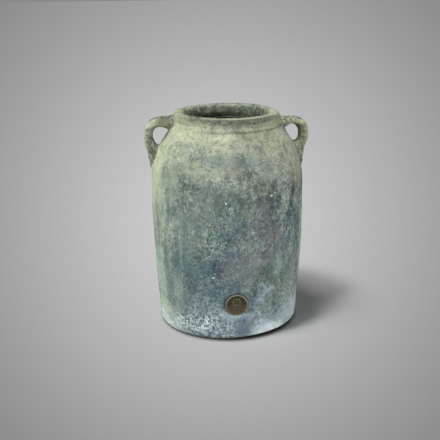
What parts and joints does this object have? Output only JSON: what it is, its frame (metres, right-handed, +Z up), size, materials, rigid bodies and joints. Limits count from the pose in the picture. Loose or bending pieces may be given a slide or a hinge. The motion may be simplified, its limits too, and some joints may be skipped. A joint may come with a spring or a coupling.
{
  "type": "pithos storage jar",
  "caption": "Tall rough earthenware storage jar with a rolled lip, short collar, pulled lug handles on the shoulder and a round beaded metal plate near the foot.",
  "frame": {"origin": "centre of the flat base, on the surface the jar stands on", "axes": "+Z up the jar's axis, -Y towards the side with the metal plate, the handles on the X axis"},
  "size_m": [0.333, 0.3096, 0.438],
  "materials": {
    "clay": "unglazed low-fired earthenware, rough and pitted, with a grey-green to blue-grey patina and pale lime bloom at the foot",
    "adhesive": "set adhesive, dull grey",
    "plate_metal": "darkened struck brass, dull olive brown, rubbed brighter on the rim"
  },
  "bodies": {
    "root": {"floor_slab": "clay", "body_wall": "clay", "neck_collar": "clay", "right_handle": "clay", "left_handle": "clay", "adhesive_pad": "adhesive", "metal_plate": "plate_metal"}
  },
  "joints": []
}
